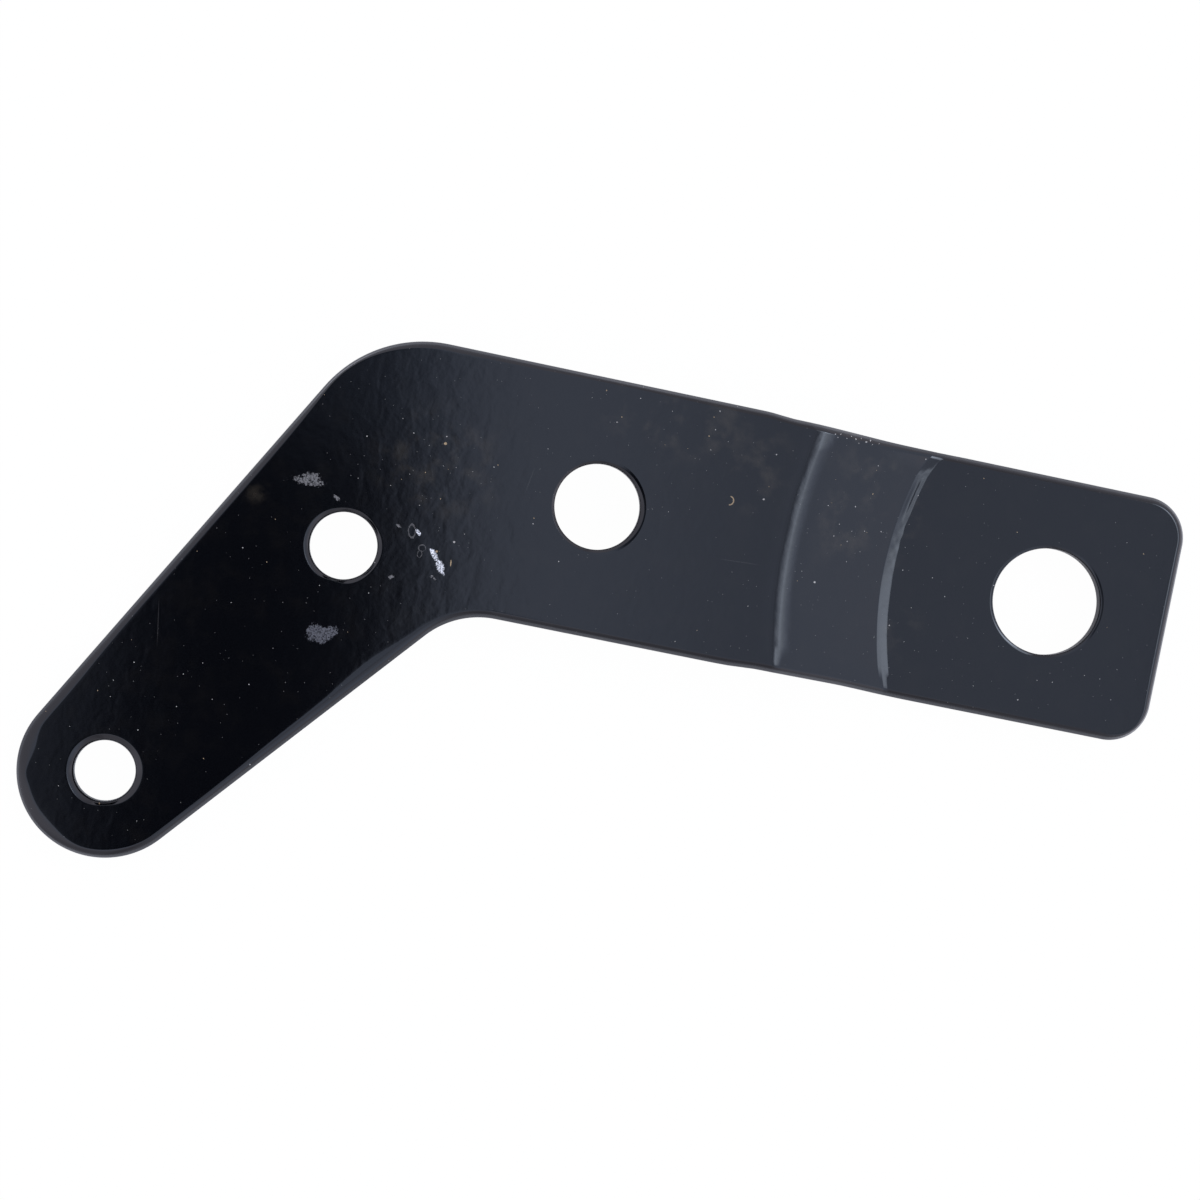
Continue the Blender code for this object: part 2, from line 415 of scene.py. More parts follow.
class StudioLook(bpy.types.PropertyGroup):
    """Colours and strengths of the floor and the light"""

    floor: colour("Floor", "Colour of the floor", (0.86, 0.86, 0.86))
    floor_lift: share("Floor lift", "Share of plain white in the floor that the camera sees", 0.985)
    gloss_lift: share("Gloss lift", "Share of plain white in the floor that gloss reflects", 0.12)
    tent: share("Tent", "Strength of the white tent all round", 0.95)
    panel: colour("Panel tint", "Tint of the tent overhead", (0.865, 0.935, 1.14))
    low: colour("Low tint", "Tint of the tent low down", (0.96, 0.905, 1.0))
    gap: share("Gap", "Strength seen through the tent's dark opening", 0.015)
    faint: colour("Faint tint", "Tint of the faint light in the opening", (0.78, 0.96, 1.32))
    box: share("Soft box", "Strength that the soft box adds", 3.6)
    box_tint: colour("Soft box tint", "Tint of the soft box", (0.867, 0.925, 1.043))


# The plate's form


def arc(centre, radius, start, end, step=math.radians(2.5)):
    """Points on an arc and the directions from its centre to them."""
    count = max(3, math.ceil(abs(end - start) / step)) + 1
    angles = np.linspace(start, end, count)
    away = np.stack([np.cos(angles), np.sin(angles)], axis=1)
    return np.asarray(centre) + radius * away, away


def straight(start, end, normal, stops):
    """Points between two ends, closest where the bar bends, with the edge's normal."""
    spacing, clear_of_stops = 0.0015, 0.0007
    start, end = np.asarray(start), np.asarray(end)
    run = np.linalg.norm(end - start)
    count = int(run / spacing)
    shares = np.arange(1, count + 1) / (count + 1)
    if abs(normal[0]) < 1e-6:
        along = (stops - start[0]) / (end[0] - start[0])
        coarse = [s for s in shares if np.min(np.abs(along - s)) * run > clear_of_stops]
        shares = np.sort(np.concatenate([coarse, along[(along > 0) & (along < 1)]]))
    points = start + shares[:, None] * (end - start)
    return points, np.repeat([normal], len(shares), axis=0)


def arm_point(sizes, distance):
    """A point on the arm's centre line, that far from the elbow's centre."""
    heading = math.pi + sizes.arm_angle
    return np.array([-sizes.elbow, 0.0]) + distance * np.array(
        [math.cos(heading), math.sin(heading)]
    )


def bend_stops(sizes):
    """Where along the bar edges are wanted across it, to carry both bends."""
    before_upper, upper_length = 0.0026, 0.0046
    lower_length, after_lower = 0.0030, 0.0016
    first = sizes.upper_crease - before_upper
    last = sizes.lower_crease + after_lower
    return np.concatenate(
        [
            np.linspace(first - BOW_LEAD, first, 5, endpoint=False),
            np.linspace(first, first + upper_length, 29, endpoint=False),
            np.linspace(first + upper_length, last - lower_length, 14, endpoint=False),
            np.linspace(last - lower_length, last, 21),
            np.linspace(last, last + BOW_TRAIL, 7)[1:],
        ]
    )


def blank_edge(sizes):
    """The outline anticlockwise, as points and outward normals."""
    half = sizes.bar_width / 2
    elbow = np.array([-sizes.elbow, 0.0])
    tip = arm_point(sizes, sizes.arm_reach)
    heading = math.pi + sizes.arm_angle
    taper = math.asin((half - sizes.tip_radius) / sizes.arm_reach)
    outer = heading - math.pi / 2 + taper
    inner = heading + math.pi / 2 - taper
    fillet_y = -half - sizes.inner_fillet
    across = half + sizes.inner_fillet - fillet_y * math.sin(inner)
    fillet = np.array([elbow[0] + across / math.cos(inner), fillet_y])
    corner_x = sizes.bar_end - sizes.end_corner
    corner_y = half - sizes.end_corner
    corners = [
        arc((corner_x, -corner_y), sizes.end_corner, -math.pi / 2, 0.0),
        arc((corner_x, corner_y), sizes.end_corner, 0.0, math.pi / 2),
        arc(elbow, half, math.pi / 2, outer),
        arc(tip, sizes.tip_radius, outer, inner),
    ]
    hollow, towards = arc(fillet, sizes.inner_fillet, inner - math.pi, math.pi / 2)
    corners.append((hollow, -towards))
    stops = bend_stops(sizes)
    points, normals = [], []
    for (here, facing), (there, _) in zip(corners, corners[1:] + corners[:1]):
        side, side_normals = straight(here[-1], there[0], facing[-1], stops)
        points += [here, side]
        normals += [facing, side_normals]
    return np.concatenate(points), np.concatenate(normals)


def hole_edge(centre, diameter, stretch, sides=120):
    """A hole's rim clockwise, with normals that point into the hole."""
    angles = -2 * math.pi * np.arange(sides) / sides
    away = np.stack([np.cos(angles), np.sin(angles)], axis=1)
    return np.asarray(centre) + diameter / 2 * away * stretch, -away


def edge_profile(thickness, roll, tilts, land, tear):
    """Rings (inset, height, outward, up) from the lower face round the edge to the upper.

    Above, the edge rolls over: tilts gives its tilt in degrees at shares of the width roll.
    Below its land it draws back by tear, and its foot is chipped.
    """
    flat_ring, below_roll = 0.00015, 0.0001
    shares, degrees = np.array(tilts).T
    fine = np.linspace(0.0, shares[-1], 800)
    slope = np.tan(np.radians(np.interp(fine, shares, degrees)))
    steps = (slope[1:] + slope[:-1]) / 2 * np.diff(fine) * roll
    drop = np.concatenate([np.cumsum(steps[::-1])[::-1], [0.0]])
    inset = np.concatenate([shares[:-1] + k / 3 * np.diff(shares) for k in range(3)])
    inset = np.sort(np.append(inset, shares[-1]))
    rings = [
        (tear + CHIP + flat_ring, 0.0, 0.0, -1.0),
        (tear + CHIP, 0.0, 0.38, -0.92),
        (tear, CHIP, 0.92, -0.38),
        (tear * 0.02, thickness - land, 1.0, 0.0),
        (0.0, thickness - drop[0] - below_roll, 1.0, 0.0),
    ]
    for part in inset:
        tilt = math.radians(np.interp(part, shares, degrees))
        height = thickness - np.interp(part, fine, drop)
        rings.append((part * roll, height, math.sin(tilt), math.cos(tilt)))
    return rings


def roll_spread(points, humps):
    """How much wider than usual the edge rolls over at each point of an edge."""
    spread = np.ones(len(points))
    for x, y, reach, extra in humps:
        away = np.hypot(points[:, 0] * 1000 - x, points[:, 1] * 1000 - y)
        spread += extra * np.exp(-((away / reach) ** 2))
    return spread


def joggle_course(sizes, upper, lower):
    """Fine tables of x, drop and tilt of the upper face, down both bends."""
    slope = math.atan2(sizes.joggle, sizes.lower_crease - sizes.upper_crease)
    knots = [sizes.upper_crease + x / 1000 for x, _ in upper]
    knots += [sizes.lower_crease + x / 1000 for x, _ in lower]
    tilts = [slope * share_of_slope for _, share_of_slope in upper + lower]
    x = np.linspace(knots[0] - COURSE_MARGIN, knots[-1] + COURSE_MARGIN, 1600)
    tilt = np.interp(x, knots, tilts)
    # A short running mean rounds the knots off, as the paint does.
    kernel = np.hanning(15) / np.hanning(15).sum()
    tilt = np.convolve(np.pad(tilt, 7, mode="edge"), kernel, mode="valid")
    fall = np.concatenate([[0.0], np.cumsum(np.tan((tilt[1:] + tilt[:-1]) / 2) * np.diff(x))])
    return x, -fall * sizes.joggle / fall[-1], tilt


def tightened(bend, about):
    """A bend's table drawn together about one of its places."""
    return tuple((about + (x - about) * TIGHTER, share_of_slope) for x, share_of_slope in bend)


def joggle_courses(sizes):
    """The joggle's course along the middle of the bar, at its near and at its far edge."""
    near = [tightened(*pair) for pair in zip((UPPER_BEND, LOWER_BEND), TIGHT_ABOUT)]
    return [
        joggle_course(sizes, UPPER_BEND, LOWER_BEND),
        joggle_course(sizes, *near),
        joggle_course(sizes, UPPER_BEND, LOWER_BEND_FAR),
    ]


def smooth_step(value):
    """Goes smoothly from 0 to 1 as value does."""
    value = np.clip(value, 0.0, 1.0)
    return value * value * (3 - 2 * value)


def bow(depth, y, half):
    """How far an arc that bows by depth over the bar's width lies to the right at y."""
    radius = (half**2 + depth**2) / (2 * depth)
    return radius - np.sqrt(np.maximum(radius**2 - y**2, 0.0))


def bow_shift(x, y, first, last, sizes):
    """How far right of its straight place each point lies, by the bows and curls."""
    half = sizes.bar_width / 2
    # The far ends of both creases curl along the bar's upper edge.
    curl = np.clip((y - (half - CURL_REACH)) / CURL_REACH, 0.0, 1.0) ** 3
    share_down = np.clip((x - first) / (last - first), 0.0, 1.0)
    shift = (1 - share_down) * (bow(sizes.upper_bow, y, half) - UPPER_CURL * curl)
    shift += share_down * (bow(sizes.lower_bow, y, half) + LOWER_CURL * curl)
    shift *= smooth_step((x - first + BOW_LEAD) / BOW_LEAD)
    shift *= smooth_step((last + BOW_TRAIL - x) / BOW_TRAIL)
    shift[x < first - BOW_LEAD] = 0.0
    return shift


def pressed(points, sizes, courses):
    """The flat plate's points after the press has set the bar down."""
    x, y, z = points.T
    first, last = courses[0][0][0] + COURSE_MARGIN, courses[0][0][-1] - COURSE_MARGIN
    half = sizes.bar_width / 2
    near = np.clip((NEAR_BEGINS - half - y) / NEAR_LENGTH, 0.0, 1.0) ** 1.5
    far = smooth_step((y - FAR_BEGINS) / FAR_LENGTH)
    far *= 1 - smooth_step((y - FAR_ENDS) / FAR_END_LENGTH)
    drop, tilt = 0.0, 0.0
    for amount, (table_x, table_drop, table_tilt) in zip((1 - near - far, near, far), courses):
        drop = drop + amount * np.interp(x, table_x, table_drop)
        tilt = tilt + amount * np.interp(x, table_x, table_tilt)
    drawn = sizes.draw_in * smooth_step((x - first + sizes.draw_lead) / sizes.draw_lead)
    drawn *= smooth_step((last - x) / (last - first) * 2)
    depth = sizes.thickness - z
    marks = crease_marks(x, y, sizes) - hole_sink(x, y, sizes)
    return np.stack(
        [
            x + bow_shift(x, y, first, last, sizes) - depth * np.sin(tilt),
            y * (1 - drawn / half),
            sizes.thickness + drop - depth * np.cos(tilt) + marks,
        ],
        axis=1,
    )


def crease_marks(x, y, sizes):
    """A shallow groove that the press tool left along the lower crease, as added height."""
    right, width = 0.12, 0.42
    along = (x - sizes.lower_crease) * 1000 - right
    y = y * 1000
    # It is deepest near the upper edge, wavers above the middle and is faint low down.
    steep = 0.165 * np.exp(-(((y - 11.4) / 3.2) ** 4))
    steep += 0.04 * np.exp(-(((y + 14.5) / 2.0) ** 2))
    steep += 0.055 * np.sin(2.3 * y + 1.0) * np.exp(-(((y - 4.5) / 4.0) ** 2))
    return steep * along * np.exp(-((along / width) ** 2)) / 1000


def hole_sink(x, y, sizes):
    """Depth of the shallow sink beside the pivot hole."""
    middle_x, middle_y, reach_mm, deep, begin, end = SINK
    off_x, off_y = np.array(HOLE_OFF["pivot"]) / 1000
    out = (np.hypot(x - off_x, y - off_y) - sizes.pivot_hole / 2) * 1000
    out = (out - begin) / (end - begin)
    aside = np.hypot(x * 1000 - middle_x, y * 1000 - middle_y) / reach_mm
    down = np.interp(out, (0.0, 0.14, 0.86, 1.0), (1.0, 0.95, 0.05, 0.0))
    return deep / 1000 * np.exp(-(aside**4)) * down


def pressed_normals(points, normals, sizes, courses, reach=2e-5):
    """Normals of the pressed surface, from two short steps along the flat one."""
    aside = np.where(np.abs(normals[:, 2:]) < 0.9, [[0.0, 0.0, 1.0]], [[1.0, 0.0, 0.0]])
    first = np.cross(aside, normals)
    first /= np.linalg.norm(first, axis=1)[:, None]
    second = np.cross(normals, first)
    steps = []
    for way in (first, second):
        ahead = pressed(points + reach * way, sizes, courses)
        behind = pressed(points - reach * way, sizes, courses)
        steps.append(ahead - behind)
    turned = np.cross(*steps)
    return turned / np.linalg.norm(turned, axis=1)[:, None]


def face_between(loops, inner_points, upwards):
    """Triangles over a flat face, from its loops of (index, x, y) and points inside it.

    The first loop is the outline, and the others are round holes.
    """
    indices, places, edges = [], [], []
    for loop in loops:
        start = len(places)
        for k, (index, x, y) in enumerate(loop):
            indices.append(index)
            places.append(Vector((x, y)))
            edges.append((start + k, start + (k + 1) % len(loop)))
    for index, x, y in inner_points:
        indices.append(index)
        places.append(Vector((x, y)))
    holes = []
    for loop in loops[1:]:
        rim = np.array([(x, y) for _, x, y in loop])
        centre = Vector(rim.mean(axis=0))
        holes.append((centre, (Vector(rim[0]) - centre).length))
    found = delaunay_2d_cdt(places, edges, [], 1, 1e-7)
    source = [indices[origin[0]] for origin in found[3]]
    faces = []
    for corners in found[2]:
        a, b, c = [found[0][k] for k in corners]
        middle = (a + b + c) / 3
        if any((middle - centre).length < radius for centre, radius in holes):
            continue
        anticlockwise = (b - a).cross(c - a) > 0
        order = corners if anticlockwise == upwards else list(reversed(corners))
        faces.append([source[k] for k in order])
    return faces


def plate_edges(sizes):
    """The outline and each hole's rim: points, normals, profile rings and roll's width."""
    t = sizes.thickness
    outer = edge_profile(t, EDGE_ROLL, BLANK_ROLL, EDGE_LAND, EDGE_TEAR)
    edges = [(*blank_edge(sizes), outer, EDGE_ROLL)]
    holes = {
        "pivot": (np.zeros(2), sizes.pivot_hole),
        "pulley": (np.array([sizes.pulley_at, 0.0]), sizes.pulley_hole),
        "stop": (arm_point(sizes, sizes.stop_at), sizes.stop_hole),
        "spring": (arm_point(sizes, sizes.arm_reach), sizes.spring_hole),
    }
    for name, (centre, diameter) in holes.items():
        roll = HOLE_ROLL[name]
        rim = edge_profile(t, roll, HOLE_TILTS[name], HOLE_LAND, HOLE_TEAR)
        placed = centre + np.array(HOLE_OFF[name]) / 1000
        hole = hole_edge(placed, diameter, HOLE_STRETCH.get(name, (1.0, 1.0)))
        edges.append((*hole, rim, roll))
    return edges


def plate_faces(sizes):
    """The flat plate's points, normals and faces: rings round each edge, then both faces."""
    points, normals, faces, tops, bottoms = [], [], [], [], []
    for rim_points, rim_normals, profile, roll in plate_edges(sizes):
        count = len(rim_points)
        spread = roll_spread(rim_points, ROLL_HUMPS)
        for ring, (inset, height, outward, up) in enumerate(profile):
            base = len(points)
            # The shallow part of the roll widens most.
            shallow = max(inset - STEEP_PART * roll, 0.0)
            extra = (spread - 1) if ring >= RINGS_BELOW_ROLL else np.zeros(count)
            insets = SKIN + inset * (1 + STEEP_WIDENING * extra) + shallow * extra
            wider = 1 + (STEEP_WIDENING + (shallow > 0)) * extra
            for p, n, w in zip(rim_points - insets[:, None] * rim_normals, rim_normals, wider):
                points.append((p[0], p[1], height))
                normals.append((n[0] * outward / w, n[1] * outward / w, up))
            loop = [(base + k, points[base + k][0], points[base + k][1]) for k in range(count)]
            if ring == 0:
                bottoms.append(loop)
            if ring == len(profile) - 1:
                tops.append(loop)
            if ring > 0:
                for k in range(count):
                    j = (k + 1) % count
                    faces.append((base - count + k, base - count + j, base + j, base + k))

    half = sizes.bar_width / 2
    upper_margin, lower_margin, clear_of_pivot = 0.0042, 0.0012, 0.003
    for height, up, loops in ((sizes.thickness, 1.0, tops), (0.0, -1.0, bottoms)):
        inner_points = []
        margin = upper_margin if up > 0 else lower_margin
        for x in bend_stops(sizes):
            if abs(x) < sizes.pivot_hole / 2 + clear_of_pivot:
                continue
            for y in np.linspace(margin - half, half - margin, 27):
                inner_points.append((len(points), x, y))
                points.append((x, y, height))
                normals.append((0.0, 0.0, up))
        faces += face_between(loops, inner_points, up > 0)
    return np.array(points), np.array(normals), faces


def plate_mesh(sizes):
    """The whole plate, pressed and laid down as it rests."""
    flat, facing, faces = plate_faces(sizes)
    facing /= np.linalg.norm(facing, axis=1)[:, None]
    courses = joggle_courses(sizes)
    shaped = pressed(flat, sizes, courses)
    shaped_normals = pressed_normals(flat, facing, sizes, courses)
    rest = rest_pose()
    turn = np.array(rest.to_3x3())
    mesh = bpy.data.meshes.new(PLATE_NODE)
    mesh.from_pydata((shaped @ turn.T + np.array(rest.translation)).tolist(), [], faces)
    mesh.shade_smooth()
    mesh.normals_split_custom_set_from_vertices((shaped_normals @ turn.T).tolist())
    return mesh


# Paint


class Nodes:
    """Short ways to add and join the nodes of one material or world."""

    def __init__(self, tree):
        self.tree = tree
        tree.nodes.clear()

    def add(self, kind, settings=None, **inputs):
        """A new node, with settings of its own and inputs by socket name."""
        node = self.tree.nodes.new(kind)
        for key, value in (settings or {}).items():
            setattr(node, key, value)
        for key, value in inputs.items():
            self.put(node, key.replace("_", " "), value)
        return node

    def put(self, node, socket, value):
        """Joins a socket to an input, or sets the input's value."""
        socket = node.inputs[int(socket) if str(socket).isdigit() else socket]
        if isinstance(value, bpy.types.NodeSocket):
            self.tree.links.new(value, socket)
        else:
            socket.default_value = value

    def math(self, operation, *values):
        """The result of one operation on the values."""
        node = self.add("ShaderNodeMath", {"operation": operation})
        for slot, value in enumerate(values):
            self.put(node, slot, value)
        return node.outputs[0]

    def ramp(self, value, low, high, out_low=0.0, out_high=1.0):
        """Goes smoothly from out_low to out_high as value goes from low to high."""
        node = self.add("ShaderNodeMapRange", {"interpolation_type": "SMOOTHSTEP"})
        for slot, item in enumerate((value, low, high, out_low, out_high)):
            self.put(node, slot, item)
        return node.outputs[0]

    def mix(self, share_of_b, a, b):
        """A colour between a and b."""
        node = self.add("ShaderNodeMix", {"data_type": "RGBA"})
        self.put(node, 0, share_of_b)
        self.put(node, 6, a)
        self.put(node, 7, b)
        return node.outputs[2]

    def noise(self, where, scale, detail, roughness, distortion=0.0):
        """Soft random values between 0 and 1."""
        node = self.add("ShaderNodeTexNoise", Scale=scale, Detail=detail, Roughness=roughness)
        self.put(node, "Distortion", distortion)
        self.put(node, "Vector", where)
        return node.outputs["Fac"]

    def cells(self, where, scale):
        """Distance to the nearest of some scattered points, and two random numbers for it."""
        node = self.add("ShaderNodeTexVoronoi", {"voronoi_dimensions": "2D"}, Scale=scale)
        self.put(node, "Vector", where)
        numbers = self.add("ShaderNodeSeparateColor")
        self.put(numbers, 0, node.outputs["Color"])
        return node.outputs["Distance"], numbers.outputs[0], numbers.outputs[1]

    def length(self, vector):
        """A vector's length."""
        node = self.add("ShaderNodeVectorMath", {"operation": "LENGTH"})
        self.put(node, 0, vector)
        return node.outputs["Value"]

    def most(self, values):
        """The largest of the values."""
        return functools.reduce(lambda a, b: self.math("MAXIMUM", a, b), values)

    def least(self, values):
        """The smallest of the values."""
        return functools.reduce(lambda a, b: self.math("MINIMUM", a, b), values)

    def product(self, *values):
        """All the values multiplied."""
        return functools.reduce(lambda a, b: self.math("MULTIPLY", a, b), values)

    def total(self, *values):
        """All the values added up."""
        return functools.reduce(lambda a, b: self.math("ADD", a, b), values)

    def placed(self, where, at=(0.0, 0.0, 0.0), turn=0.0, stretch=(1.0, 1.0, 1.0)):
        """Coordinates about a point, turned, with one unit being stretch metres."""
        node = self.add("ShaderNodeMapping", {"vector_type": "TEXTURE"})
        self.put(node, "Vector", where)
        self.put(node, "Location", at)
        self.put(node, "Rotation", (0.0, 0.0, turn))
        self.put(node, "Scale", stretch)
        return node.outputs[0]


def rest_pose():
    """From the plate's plan to where it lies at rest."""
    return Matrix.Translation(PIVOT_AT) @ Matrix.Rotation(-REST_TILT, 4, "Y")


def mark_middle(x, y):
    """Where a mark at x and y in mm of the plan lies at rest."""
    return rest_pose() @ Vector((x / 1000, y / 1000, MARK_HEIGHT))


def reach(nodes, where, oval):
    """Distance from an oval's middle, 1 on its rim."""
    x, y, long_half, short_half, turn = oval
    stretch = (long_half / 1000, short_half / 1000, 1.0)
    return nodes.length(nodes.placed(where, mark_middle(x, y), math.radians(turn), stretch))


def rubbed(nodes, where, grain, groups, ragged, soft):
    """Mask of marks made of ovals, with rims broken up by the grain."""
    masks = []
    for group in groups:
        nearest = nodes.least([reach(nodes, where, oval) for oval in group])
        broken = nodes.math("MULTIPLY_ADD", grain, ragged, nearest)
        masks.append(nodes.ramp(broken, 1 - soft, 1 + soft, 1.0, 0.0))
    return nodes.most(masks)


def scattered(nodes, where, per_metre, size, chance):
    """Mask of specks of about that size in metres: a share chance of the cells holds one."""
    distance, number, other = nodes.cells(where, per_metre)
    present = nodes.math("GREATER_THAN", number, nodes.math("SUBTRACT", 1.0, chance))
    radius = nodes.math("MULTIPLY_ADD", other, size * 0.6, size * 0.4)
    ratio = nodes.math("DIVIDE", distance, nodes.product(radius, per_metre))
    return nodes.product(present, nodes.ramp(ratio, 0.6, 1.3, 1.0, 0.0))


def hair_mask(nodes, where):
    """Mask of a short bent hair: the right half of a thin ring."""
    x, y, radius = HAIR
    hair = nodes.placed(where, mark_middle(x, y))
    off_ring = nodes.math("ABSOLUTE", nodes.math("SUBTRACT", nodes.length(hair), radius / 1000))
    sides = nodes.add("ShaderNodeSeparateXYZ")
    nodes.put(sides, 0, hair)
    right = nodes.ramp(sides.outputs["X"], -0.0001, 0.0002)
    return nodes.product(nodes.ramp(off_ring, 0.00004, 0.00012, 0.8, 0.0), right)


def dust_masks(nodes, where, grain):
    """Masks of pale and of tan dust, each placed and scattered, and of the dust's drifts."""
    drifts = [nodes.ramp(reach(nodes, where, oval), 0.4, 1.3, 1.0, 0.0) for oval in DUST_DRIFTS]
    drift = nodes.most(drifts)
    pale_chance = nodes.ramp(drift, 0.0, 1.0, 0.05, 0.35)
    tan_chance = nodes.ramp(drift, 0.0, 1.0, 0.04, 0.25)
    finest = scattered(nodes, where, 1500.0, 0.00006, 0.04)
    pale = [
        rubbed(nodes, where, grain, [[oval] for oval in PALE_SPECKS], 0.5, 0.3),
        scattered(nodes, where, 420.0, 0.00010, pale_chance),
        nodes.product(finest, 0.35),
    ]
    tan = [
        rubbed(nodes, where, grain, [[oval] for oval in TAN_SPECKS], 0.5, 0.3),
        scattered(nodes, where, 300.0, 0.00009, tan_chance),
        hair_mask(nodes, where),
    ]
    return nodes.most(pale), nodes.most(tan), drift


def ring_mask(nodes, where, grain):
    """Mask of the rims of the dried rings, broken up by the grain."""
    from_rims = []
    for oval in DRIED_RINGS:
        past_rim = nodes.math("SUBTRACT", reach(nodes, where, oval), 1.0)
        from_rims.append(nodes.math("ABSOLUTE", past_rim))
    nearest = nodes.math("MULTIPLY_ADD", grain, 0.8, nodes.least(from_rims))
    return nodes.ramp(nearest, 0.05, 0.2, 0.55, 0.0)


def scratch_mask(nodes, where):
    """Mask of the thin scratches."""
    ovals = [nodes.ramp(reach(nodes, where, oval), 0.5, 1.2, 1.0, 0.0) for oval in SCRATCHES]
    return nodes.product(nodes.most(ovals), 0.12)


def laid(nodes, under, mask, top):
    """A colour laid over another where the mask says."""
    return nodes.mix(mask, under, (*top, 1.0))


def gloss_black_paint(look):
    """Black gloss paint with a light ripple, rubbed spots, scratches and dust."""
    material = bpy.data.materials.new(PAINT_SLOT)
    material.use_nodes = True
    nodes = Nodes(material.node_tree)
    where = nodes.add("ShaderNodeTexCoord").outputs["Object"]
    shader = nodes.add("ShaderNodeBsdfPrincipled")
    out = nodes.add("ShaderNodeOutputMaterial")
    nodes.put(out, "Surface", shader.outputs[0])

    # The ripple is coarser than a millimetre and runs across the bar, with a finer one on it.
    coarse = nodes.noise(nodes.placed(where, stretch=(1.0, 1.5, 1.0)), 480.0, 1.5, 0.5, 0.4)
    fine = nodes.noise(where, 1500.0, 1.0, 0.4)
    ripple = nodes.math("MULTIPLY_ADD", fine, 0.22, coarse)
    bump = nodes.add("ShaderNodeBump", Strength=look.peel, Distance=0.0004)
    nodes.put(bump, "Height", ripple)

    grain = nodes.math("SUBTRACT", nodes.noise(where, 2600.0, 3.0, 0.65), 0.5)
    pale, tan, drift = dust_masks(nodes, where, grain)
    # The dust film lies thickest in the drifts.
    film = nodes.ramp(nodes.noise(where, 260.0, 3.0, 0.6), 0.45, 0.75)
    film = nodes.product(film, nodes.math("MULTIPLY_ADD", drift, 0.7, 0.06))

    # The rubbed marks are worn in fine patches.
    worn = nodes.noise(where, 4200.0, 2.0, 0.7)
    pale_rub = rubbed(nodes, where, grain, PALE_RUBS, 2.2, 0.15)
    pale_rub = nodes.product(pale_rub, nodes.ramp(worn, 0.38, 0.58, 0.12, 1.0))
    dull_rub = rubbed(nodes, where, grain, DULL_RUBS, 1.6, 0.15)
    dull_rub = nodes.product(dull_rub, nodes.ramp(worn, 0.38, 0.58, 0.15, 1.1))
    bright_rub = rubbed(nodes, where, grain, BRIGHT_RUBS, 1.5, 0.15)
    bright_rub = nodes.product(bright_rub, nodes.ramp(worn, 0.40, 0.60, 0.12, 1.0))
    thin = nodes.most([pale_rub, ring_mask(nodes, where, grain), scratch_mask(nodes, where)])

    skin = (*look.paint, 1.0)
    skin = laid(nodes, skin, film, look.haze)
    skin = laid(nodes, skin, dull_rub, look.dull_rub)
    skin = laid(nodes, skin, thin, look.pale_rub)
    skin = laid(nodes, skin, nodes.product(tan, 0.7), look.tan_dust)
    skin = laid(nodes, skin, nodes.product(pale, 0.85), look.dust)
    skin = laid(nodes, skin, bright_rub, look.bright_rub)
    dulled = nodes.most([pale_rub, dull_rub, bright_rub, pale, tan])

    nodes.put(shader, "Base Color", skin)
    nodes.put(shader, "Roughness", nodes.ramp(dulled, 0.0, 1.0, look.gloss, 0.6))
    nodes.put(shader, "Specular Tint", (*look.sheen_tint, 1.0))
    nodes.put(shader, "IOR", 1.5)
    nodes.put(shader, "Normal", bump.outputs["Normal"])
    return material


# The studio


def window(nodes, value, low, high, soft):
    """1 where value lies between low and high, with soft sides."""
    rise = nodes.ramp(value, low - soft, low + soft)
    fall = nodes.ramp(value, high - soft, high + soft, 1.0, 0.0)
    return nodes.product(rise, fall)


def dark_opening(nodes, across, slanted, along):
    """Mask of the tent's dark opening, softer on its left side."""
    left = nodes.ramp(across, -0.46, -0.33)
    right = nodes.ramp(slanted, -0.104, -0.034, 1.0, 0.0)
    return nodes.product(left, right, window(nodes, along, -0.36, 0.32, 0.06))


def soft_box(nodes, across, along, strength):
    """The soft box's light, bright along its front edge and in its far right corner."""
    corner = nodes.product(nodes.ramp(along, 0.30, 0.42), nodes.ramp(across, 0.55, 0.75))
    return nodes.product(
        nodes.ramp(across, 0.335, 0.44),
        nodes.ramp(along, -0.12, -0.05),
        nodes.ramp(across, 0.48, 1.05, strength, 0.0),
        nodes.ramp(along, -0.02, 0.075, 0.38, 1.0),
        nodes.ramp(along, -0.055, -0.03, 2.3, 1.0),
        nodes.math("MULTIPLY_ADD", corner, 3.0, 1.0),
        nodes.ramp(along, 0.7, 1.0, 1.0, 0.0),
    )


def tent_light(nodes, x, y, across, glow):
    """The tent's light with the soft box in it, before the opening is cut into it."""
    # It is brightest just right of the opening, and wide round the soft box.
    near = nodes.ramp(across, -0.022, 0.10, 0.25, 0.0)
    wide = nodes.math("ADD", glow, nodes.ramp(across, 0.33, 0.9, 0.0, 0.30))
    # The soft box has a dark frame on its left.
    frame_shade = nodes.product(window(nodes, across, 0.315, 0.345, 0.012), 0.45)
    frame_shade = nodes.math("SUBTRACT", 1.0, frame_shade)
    # Low down it is dimmer at the front, and brighter at the far right.
    low_down = nodes.product(
        nodes.ramp(y, -0.35, -0.15, 1.15, 1.0),
        nodes.ramp(y, -0.85, -0.55, 0.68, 1.0),
        nodes.ramp(x, 0.86, 0.96, 1.0, 1.6),
        frame_shade,
    )
    return nodes.product(nodes.total(1.0, near, wide), low_down)


